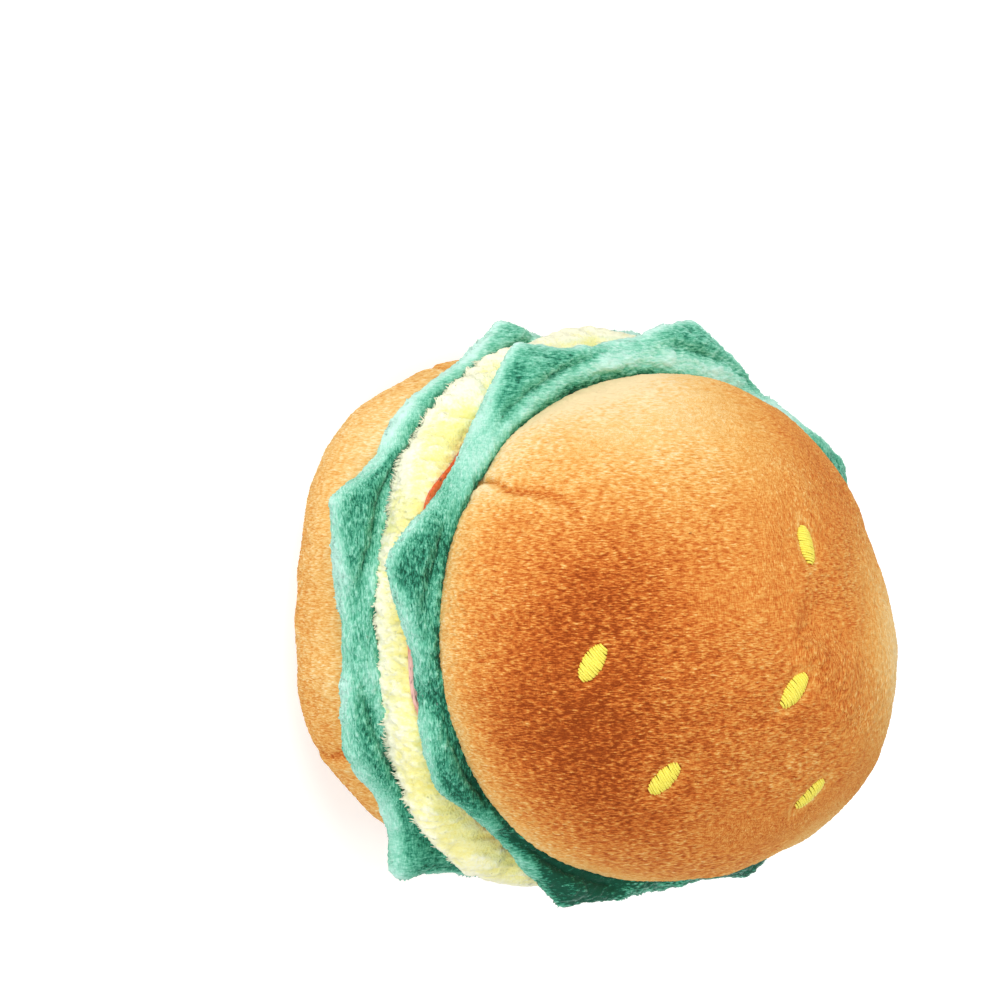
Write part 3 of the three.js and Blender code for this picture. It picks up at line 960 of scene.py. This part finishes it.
    def lock_heading(places):
        return unit(places * (1, 1, 0)) + drift(places, 6 * MM, seed + 9)[:, None] * np.array(UP)

    set_coordinates(leaf.data, raise_pile(leaf, grows, LEAF_PILE, nap, turned, seed))
    grow_locks(leaf, lock_share, lock_heading, LEAF_LOCK_LENGTH, seed)
    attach(leaf, body)
    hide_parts(*nodes)


# Cheese pad and what it holds

def build_cheese_band():
    """A ring of long-pile cloth, in soft clumps, with fine locks that lie over the leaf below."""
    low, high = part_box("cheese_band")
    radius = (high.x - low.x) / 2 - BAND_INSET
    inner = radius - BAND_THICKNESS
    pile_starts = inner + 0.8 * MM
    bottom, top = low.z + 0.5 * MM, high.z - 0.5 * MM
    profile = []
    rows = 16
    for step in range(rows + 1):
        up = step / rows
        bulge = BAND_BULGE * math.sin(math.pi * up) ** 0.6
        profile.append((radius + bulge, bottom + (top - bottom) * up))
    profile += [(radius + (inner - radius) * step / 6, top) for step in range(1, 7)]
    profile += [(inner, bottom), profile[0]]
    band = piece("cheese_band_plush", spun(profile, 480), cheese_material)
    refine(band, 1)

    points = coordinates(band.data)
    facing = normals(band.data)
    out = unit(points * (1, 1, 0))
    up = np.clip((points[:, 2] - bottom) / (top - bottom), 0, 1)
    direction = np.degrees(round_axis(points))
    fuller = np.zeros(len(points))
    for place, width, depth in CHEESE_FULLER:
        fuller += depth * MM * hump(aside_of(direction, place), width)
    fuller *= np.where(fuller > 0, np.sin(np.pi * up) ** 0.5, 1)
    clumps = 0.16 * drift(points / (1, 1, 2), 1.8 * MM, 11) + 0.4 * drift(points, 6 * MM, 12)
    clumps *= from_axis(points) > pile_starts
    points += out * fuller[:, None] + facing * clumps[:, None] * MM
    set_coordinates(band.data, points)
    # The tone is paler low on the band and deeper yellow toward its top, partly the cloth's own colour and
    # partly painted shade under the upper leaf. Raised clumps get a painted highlight, and the band is
    # painted paler toward -X as painted light from the key lamp.
    brushed = smooth_step((-points[:, 0] - 25 * MM) / (20 * MM))
    mark(band, "tone", 1.06 - 0.52 * up + 0.3 * clumps + 0.25 * brushed)

    def grows(places):
        return from_axis(places) > pile_starts

    def nap(places, outward):
        round_it = np.cross(UP, unit(places * (1, 1, 0)))
        wave = drift(places, 5 * MM, 13)[:, None]
        return tangent(round_it * (0.2 + wave) - np.array(UP), outward)

    def turned(places):
        return np.zeros(len(places))

    set_coordinates(band.data, raise_pile(band, grows, CHEESE_PILE, nap, turned, seed=15))

    def lock_share(places):
        return EDGE_LOCK_SHARE * (places[:, 2] < low.z + 0.3 * (high.z - low.z))

    def lock_heading(places):
        out = unit(places * (1, 1, 0))
        up = 2 * (places[:, 2:] - low.z) / (high.z - low.z) - 1
        down = 0.8 - 1.6 * np.maximum(0, up)
        aside = 0.1 + 0.6 * drift(places, 5 * MM, 17)[:, None]
        outward = out * (0.15 + 0.3 * np.maximum(0, up))
        return outward - down * np.array(UP) + np.cross(UP, out) * aside

    grow_locks(band, lock_share, lock_heading, LOCK_LENGTH, seed=11)
    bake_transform(band, LOWER, UPPER, start=(0, 0, low.z), end=(0, 0, high.z))
    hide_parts("cheese_band")


def build_lining(node, body, waves, seed):
    """A round of lining with a soft wave round its rim, where the stitches gather it."""
    low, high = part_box(node)
    middle = (low + high) / 2
    radius = (high.x - low.x) / 2
    thickness = high.z - low.z
    rings = 14
    profile = [(radius * step / rings, 0.0) for step in range(rings + 1)]
    bm = spun(profile, 96)
    for corner in bm.verts:
        share = corner.co.to_2d().length / radius
        direction = math.atan2(corner.co.y, corner.co.x)
        ripple = math.sin(direction * waves + seed) * 0.08 * thickness * share ** 4
        corner.co = middle + corner.co + UP * (ripple - 0.32 * thickness)
    if bm.faces[:][0].normal.z < 0:
        bmesh.ops.reverse_faces(bm, faces=bm.faces)
    bmesh.ops.solidify(bm, geom=bm.faces[:], thickness=-0.64 * thickness)
    bmesh.ops.recalc_face_normals(bm, faces=bm.faces)
    disc = piece(f"{node}_cloth", bm, lining_material)
    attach(disc, body)
    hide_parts(node)


def build_tomato():
    """A slice of brushed knit with a soft rolled edge."""
    low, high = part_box("tomato_slice")
    radius = (high.x - low.x) / 2 - 0.4 * MM
    half = (high.z - low.z) / 2
    shares = np.linspace(FRILL_HOLE / radius, 0.93, 9)
    profile = [(radius * share, half * (1 - share ** 12)) for share in shares]
    for step in range(1, 7):
        angle = step / 7 * math.pi
        profile.append((radius - half + half * math.sin(angle), half * math.cos(angle)))
    profile += [(radius * share, -half * (1 - share ** 12)) for share in reversed(shares)]
    profile.append(profile[0])
    bm = spun(profile, 180)
    for corner in bm.verts:
        direction = math.atan2(corner.co.y, corner.co.x)
        share = corner.co.to_2d().length / radius
        wave = 0.25 * MM * math.sin(5 * direction) * share ** 3
        shown = 0
        for place, width, left in SLICE_SHOWN:
            shown += left * hump(math.degrees(direction) - place, width)
        pressed = SLICE_DRAWN_IN * (1 - shown) * share ** 3
        corner.co -= Vector((corner.co.x, corner.co.y, 0)).normalized() * pressed
        corner.co += (low + high) / 2 + UP * wave
    slice_piece = piece("tomato_slice_knit", bm, tomato_material)
    refine(slice_piece, 1)

    def grows(places):
        return from_axis(places) > radius * 0.86

    def nap(places, outward):
        return tangent(unit(np.cross(places * (1, 1, 0), UP)), outward)

    def turned(places):
        return np.ones(len(places))

    set_coordinates(slice_piece.data, raise_pile(slice_piece, grows, SLICE_PILE, nap, turned, seed=61))
    points = coordinates(slice_piece.data)
    # The pink on one side of the rim is a painted highlight.
    highlight_place, highlight_width = SLICE_PAINTED_HIGHLIGHT
    painted_highlight = hump(np.degrees(round_axis(points)) - highlight_place, highlight_width)
    mark(slice_piece, "tone", 0.45 + 0.25 * drift(points, 12 * MM, 62) + 0.45 * painted_highlight)
    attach(slice_piece, UPPER)
    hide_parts("tomato_slice")


def build_filling_ring():
    """A lumpy ring of fibre round the squeaker."""
    low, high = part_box("cheese_stuffing")
    outer = (high.x - low.x) / 2 - 0.6 * MM
    inner = (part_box("squeaker_bellows")[1].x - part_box("squeaker_bellows")[0].x) / 2 + 1.0 * MM
    middle = (low.z + high.z) / 2
    half = (high.z - low.z) / 2 - 0.4 * MM
    centre, reach = (outer + inner) / 2, (outer - inner) / 2
    profile = []
    for step in range(25):
        angle = step / 24 * 2 * math.pi
        bulge_x = math.copysign(abs(math.cos(angle)) ** 0.4, math.cos(angle))
        bulge_z = math.copysign(abs(math.sin(angle)) ** 0.4, math.sin(angle))
        profile.append((centre + reach * bulge_x, middle + half * bulge_z))
    bm = spun(profile, 120)
    for corner in bm.verts:
        lump = noise.noise(corner.co / (6 * MM)) * 0.35 * MM
        corner.co -= corner.normal * (0.3 * MM + lump)
    ring = piece("cheese_pad_filling", bm, filling_material)
    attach(ring, LOWER)
    press(ring)
    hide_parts("cheese_stuffing")


def press(target):
    """Gives a piece inside the cheese pad its own copy of its mesh."""
    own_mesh(target)


def build_bellows():
    """The blown squeaker: a thin shell with three rounded folds, open where the plug sits."""
    low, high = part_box("squeaker_bellows")
    radius = (high.x - low.x) / 2
    wall, fold_depth, folds = 0.9 * MM, 1.8 * MM, 3
    mouth = (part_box("squeaker_plug")[1].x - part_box("squeaker_plug")[0].x) / 2 + 0.3 * MM

    def folded(inset, end):
        """The folds of one side of the wall, from the bottom up."""
        side = []
        for up in np.linspace(0, 1, folds * 8 + 1):
            depth = fold_depth * (0.5 - 0.5 * math.cos(2 * math.pi * folds * up))
            side.append((radius - depth - inset, low.z + end + (high.z - low.z - 2 * end) * up))
        return side

    outer = [(mouth, low.z), *folded(0, wall / 2)]
    outer += [(radius * 0.86, high.z), (radius * 0.5, high.z), (0, high.z)]
    inner = [(0, high.z - wall), *reversed(folded(wall, wall)), (mouth, low.z + wall)]
    profile = outer + inner + [outer[0]]
    bellows = piece("squeaker_bellows_shell", spun(profile, 72), squeaker_material)
    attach(bellows, LOWER)
    press(bellows)
    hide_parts("squeaker_bellows")


# Stage

def build_floor():
    """A plain white floor that keeps the toy's soft shadow."""
    bm = bmesh.new()
    bmesh.ops.create_grid(bm, x_segments=8, y_segments=8, size=3.0)
    material = bpy.data.materials.new("matt white floor")
    material.use_nodes = True
    tree = material.node_tree
    tree.nodes.clear()
    ray = add_node(tree, "ShaderNodeLightPath")
    seen = maths(tree, "MAXIMUM", ray.outputs["Is Camera Ray"], ray.outputs["Is Glossy Ray"])
    seen = maths(tree, "MAXIMUM", seen, ray.outputs["Is Transmission Ray"])
    glow = maths(tree, "MULTIPLY", seen, FLOOR_GLOW)
    lit = add_node(tree, "ShaderNodeBsdfDiffuse", {"Color": linear("#E6E6E6")})
    bright = add_node(tree, "ShaderNodeEmission", {"Color": (1, 1, 1, 1), "Strength": glow})
    both = add_node(tree, "ShaderNodeAddShader", {0: lit.outputs[0], 1: bright.outputs[0]})
    add_node(tree, "ShaderNodeOutputMaterial", {"Surface": both.outputs[0]})
    piece("floor", bm, material, smooth=False)


def add_lamp(name, place, aim, size, power, colour):
    data = bpy.data.lights.new(name, "AREA")
    data.shape = "DISK"
    data.size = size
    data.energy = power
    data.color = linear(colour)[:3]
    lamp = bpy.data.objects.new(name, data)
    lamp.location = place
    lamp.rotation_mode = "QUATERNION"
    lamp.rotation_quaternion = (aim - place).to_track_quat("-Z", "Y")
    bpy.context.scene.collection.objects.link(lamp)


def build_stage():
    build_floor()
    aim = Vector((0, 0, 40)) * MM
    for name, (place, size, power, colour) in LAMPS.items():
        add_lamp(name, Vector(place), aim, size, power, colour)
    world = bpy.data.worlds.new("studio")
    bpy.context.scene.world = world
    world.use_nodes = True
    tree = world.node_tree
    ray = add_node(tree, "ShaderNodeLightPath")
    strength = maths(tree, "MAXIMUM", ray.outputs["Is Camera Ray"], ROOM_GLOW)
    sky = tree.nodes["Background"]
    sky.inputs["Color"].default_value = (1, 1, 1, 1)
    tree.links.new(strength, sky.inputs["Strength"])

    camera = bpy.data.objects.new("camera", bpy.data.cameras.new("camera"))
    camera.data.lens = CAMERA_LENS
    camera.data.sensor_width = SENSOR
    sight = Vector((0, math.sin(CAMERA_TILT), -math.cos(CAMERA_TILT)))
    above = Vector((-1, 0, 0))
    above.rotate(Matrix.Rotation(CAMERA_ROLL, 3, sight))
    right = sight.cross(above)
    turn = Matrix((right, above, -sight)).transposed()
    camera.matrix_world = Matrix.Translation(CAMERA_PLACE) @ turn.to_4x4()
    bpy.context.scene.collection.objects.link(camera)
    bpy.context.scene.camera = camera
    bpy.context.scene.view_settings.view_transform = "Standard"


bun_plush_material = bun_plush()
leaf_plush_material = leaf_plush()
cheese_material = cheese_plush()
tomato_material = tomato_knit()
seed_material = seed_thread()
lining_material = lining_cloth()
filling_material = fibre_filling()
squeaker_material = moulded_plastic(
    "blow-moulded polythene", ((0.3, "#E2E2DC"), (0.7, "#F0F0EC")), roughness=0.4, grain=0.6 * MM
)
reed_material = moulded_plastic(
    "stamped polyester film", ((0.3, "#B0B6BC"), (0.7, "#C2C8CE")), roughness=0.2, grain=0.3 * MM
)

upper_bun = bun_size("top_bun_cover", "top_bun_lining", 1, {
    "tuck": 4 * MM,
    "seam_inset": 1 * MM,
    "fullness": 1.85,
    "pressure": 900,
    "swell": 0.2 * MM,
    "fuller": UPPER_FULLER,
    "tone_and_painted_light": UPPER_TONE_AND_PAINTED_LIGHT,
    "darts": UPPER_DARTS,
})
lower_bun = bun_size("bottom_bun_cover", "bottom_bun_lining", -1, {
    "tuck": 12.5 * MM,
    "seam_inset": 4.1 * MM,
    "fullness": 2.3,
    "pressure": 90,
    "swell": 0.6 * MM,
    "fuller": LOWER_FULLER,
    "tone_and_painted_light": LOWER_TONE_AND_PAINTED_LIGHT,
    "darts": LOWER_DARTS,
})
seeds = seed_frames()

build_stage()
upper_nodes = ("top_bun_cover", "top_bun_stuffing")
lower_nodes = ("bottom_bun_cover", "bottom_bun_stuffing")
top_surface = build_bun("top_bun_plush", upper_bun, upper_nodes, UPPER, seeds, seed=3)
for number, seed_frame in enumerate(seeds, start=1):
    build_seed(number, top_surface, *seed_frame)
build_bun("bottom_bun_plush", lower_bun, lower_nodes, LOWER, seeds=(), seed=23)
bun_foot = (upper_bun["middle"], upper_bun["radius"] - upper_bun["seam_inset"])
upper_plies = ("top_lettuce_back", "top_lettuce_face")
lower_plies = ("bottom_lettuce_back", "bottom_lettuce_face")
build_frill("top_leaf_frill", UPPER_FRILL, bun_foot, upper_plies, UPPER, seed=31)
build_frill("bottom_leaf_frill", LOWER_FRILL, CHEESE_FOOT, lower_plies, LOWER, seed=37)
build_cheese_band()
build_tomato()
build_filling_ring()
build_bellows()
build_lining("top_bun_lining", UPPER, waves=22, seed=1)
build_lining("bottom_bun_lining", LOWER, waves=26, seed=2)
build_lining("cheese_top_panel", UPPER, waves=24, seed=3)
build_lining("cheese_bottom_panel", LOWER, waves=24, seed=4)
for node, material in (("squeaker_plug", squeaker_material), ("squeaker_reed", reed_material)):
    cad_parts[node].data.materials.clear()
    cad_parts[node].data.materials.append(material)
